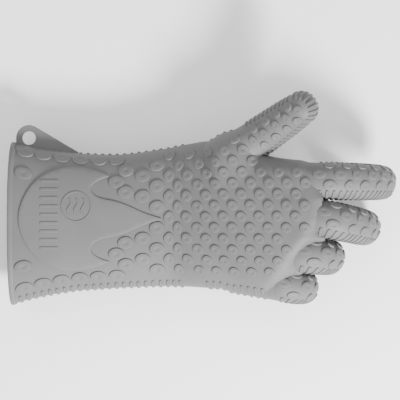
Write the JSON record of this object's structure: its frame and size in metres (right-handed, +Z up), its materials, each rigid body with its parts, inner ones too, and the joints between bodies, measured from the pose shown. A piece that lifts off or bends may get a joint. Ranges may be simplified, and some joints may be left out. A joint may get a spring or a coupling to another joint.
{
  "type": "heat resistant glove",
  "caption": "Long-cuffed five-finger silicone oven and grill glove with raised grip nubs, a smooth flame panel and a hanging tab.",
  "frame": {"origin": "middle of the footprint on the table, palm down", "axes": "+X from the cuff's mouth to the fingertips, +Y to the thumb side, +Z up out of the back of the hand"},
  "size_m": [0.3414, 0.1862, 0.0907],
  "materials": {
    "silicone": "matte moulded grey silicone",
    "silicone_smooth": "satin moulded grey silicone"
  },
  "bodies": {
    "cuff": {"cuff_shell": "silicone", "cuff_rim_band": "silicone", "hang_tab": "silicone_smooth", "cuff_flame_panel_top": "silicone_smooth", "cuff_flame_panel_under": "silicone_smooth", "cuff_marks_top": "silicone_smooth", "cuff_marks_under": "silicone_smooth", "cuff_grip_nubs": "silicone", "cuff_edge_ribs": "silicone"},
    "hand": {"hand_shell": "silicone", "hand_grip_nubs": "silicone", "hand_edge_ribs": "silicone", "wrist_flex_sleeve": "silicone"},
    "index_base": {"index_base_segment": "silicone", "index_root_sleeve": "silicone"},
    "index_middle": {"index_middle_segment": "silicone", "index_middle_sleeve": "silicone"},
    "index_tip": {"index_fingertip": "silicone", "index_tip_sleeve": "silicone"},
    "middle_base": {"middle_base_segment": "silicone", "middle_root_sleeve": "silicone"},
    "middle_middle": {"middle_middle_segment": "silicone", "middle_middle_sleeve": "silicone"},
    "middle_tip": {"middle_fingertip": "silicone", "middle_tip_sleeve": "silicone"},
    "ring_base": {"ring_base_segment": "silicone", "ring_root_sleeve": "silicone"},
    "ring_middle": {"ring_middle_segment": "silicone", "ring_middle_sleeve": "silicone"},
    "ring_tip": {"ring_fingertip": "silicone", "ring_tip_sleeve": "silicone"},
    "little_base": {"little_base_segment": "silicone", "little_root_sleeve": "silicone"},
    "little_middle": {"little_middle_segment": "silicone", "little_middle_sleeve": "silicone"},
    "little_tip": {"little_fingertip": "silicone", "little_tip_sleeve": "silicone"},
    "thumb_base": {"thumb_base_segment": "silicone", "thumb_root_sleeve": "silicone"},
    "thumb_tip": {"thumb_thumbtip": "silicone", "thumb_tip_sleeve": "silicone"}
  },
  "joints": [
    {"name": "wrist_flex", "type": "hinge", "parent": "cuff", "child": "hand", "pos_m": [-0.02067, -0.01581, 0.03136], "axis": [0, 1, 0], "range_deg": [-25, 40], "stiffness_Nm_per_rad": 4, "deforming": ["wrist_flex_sleeve"]},
    {"name": "index_root_flex", "type": "hinge", "parent": "hand", "child": "index_base", "pos_m": [0.1067, 0.01639, 0.06434], "axis": [0.0175, 0.9998, 0], "range_deg": [-47, 48], "stiffness_Nm_per_rad": 1.2, "deforming": ["index_root_sleeve"]},
    {"name": "index_middle_flex", "type": "hinge", "parent": "index_base", "child": "index_middle", "pos_m": [0.13252, 0.01594, 0.05475], "axis": [0.0175, 0.9998, 0], "range_deg": [-20, 55], "stiffness_Nm_per_rad": 0.9, "deforming": ["index_middle_sleeve"]},
    {"name": "index_tip_flex", "type": "hinge", "parent": "index_middle", "child": "index_tip", "pos_m": [0.14741, 0.01569, 0.0422], "axis": [0.0175, 0.9998, 0], "range_deg": [-15, 45], "stiffness_Nm_per_rad": 0.6, "deforming": ["index_tip_sleeve"]},
    {"name": "middle_root_flex", "type": "hinge", "parent": "hand", "child": "middle_base", "pos_m": [0.10874, -0.01701, 0.06627], "axis": [0.2164, 0.9763, 0], "range_deg": [-65, 30], "stiffness_Nm_per_rad": 1.2, "deforming": ["middle_root_sleeve"]},
    {"name": "middle_middle_flex", "type": "hinge", "parent": "middle_base", "child": "middle_middle", "pos_m": [0.13117, -0.02199, 0.0478], "axis": [0.2164, 0.9763, 0], "range_deg": [-28, 47], "stiffness_Nm_per_rad": 0.9, "deforming": ["middle_middle_sleeve"]},
    {"name": "middle_tip_flex", "type": "hinge", "parent": "middle_middle", "child": "middle_tip", "pos_m": [0.13934, -0.02379, 0.02904], "axis": [0.2164, 0.9763, 0], "range_deg": [-29, 31], "stiffness_Nm_per_rad": 0.6, "deforming": ["middle_tip_sleeve"]},
    {"name": "ring_root_flex", "type": "hinge", "parent": "hand", "child": "ring_base", "pos_m": [0.09144, -0.0477, 0.06032], "axis": [0.1392, 0.9903, 0], "range_deg": [-79, 16], "stiffness_Nm_per_rad": 1.2, "deforming": ["ring_root_sleeve"]},
    {"name": "ring_middle_flex", "type": "hinge", "parent": "ring_base", "child": "ring_middle", "pos_m": [0.106, -0.04974, 0.04041], "axis": [0.1392, 0.9903, 0], "range_deg": [-33, 42], "stiffness_Nm_per_rad": 0.9, "deforming": ["ring_middle_sleeve"]},
    {"name": "ring_tip_flex", "type": "hinge", "parent": "ring_middle", "child": "ring_tip", "pos_m": [0.10771, -0.04999, 0.02282], "axis": [0.1392, 0.9903, 0], "range_deg": [-45, 15], "stiffness_Nm_per_rad": 0.6, "deforming": ["ring_tip_sleeve"]},
    {"name": "little_root_flex", "type": "hinge", "parent": "hand", "child": "little_base", "pos_m": [0.07433, -0.07503, 0.05116], "axis": [0.1736, 0.9848, 0], "range_deg": [-82, 13], "stiffness_Nm_per_rad": 1.2, "deforming": ["little_root_sleeve"]},
    {"name": "little_middle_flex", "type": "hinge", "parent": "little_base", "child": "little_middle", "pos_m": [0.08479, -0.07687, 0.03473], "axis": [0.1736, 0.9848, 0], "range_deg": [-35, 40], "stiffness_Nm_per_rad": 0.9, "deforming": ["little_middle_sleeve"]},
    {"name": "little_tip_flex", "type": "hinge", "parent": "little_middle", "child": "little_tip", "pos_m": [0.08494, -0.0769, 0.02014], "axis": [0.1736, 0.9848, 0], "range_deg": [-45, 15], "stiffness_Nm_per_rad": 0.6, "deforming": ["little_tip_sleeve"]},
    {"name": "thumb_root_flex", "type": "hinge", "parent": "hand", "child": "thumb_base", "pos_m": [0.05041, 0.05638, 0.05099], "axis": [-0.5592, 0.829, 0], "range_deg": [-10, 50], "stiffness_Nm_per_rad": 1.2, "deforming": ["thumb_root_sleeve"]},
    {"name": "thumb_tip_flex", "type": "hinge", "parent": "thumb_base", "child": "thumb_tip", "pos_m": [0.07342, 0.07191, 0.06387], "axis": [-0.5592, 0.829, 0], "range_deg": [-10, 60], "stiffness_Nm_per_rad": 0.8, "deforming": ["thumb_tip_sleeve"]}
  ]
}
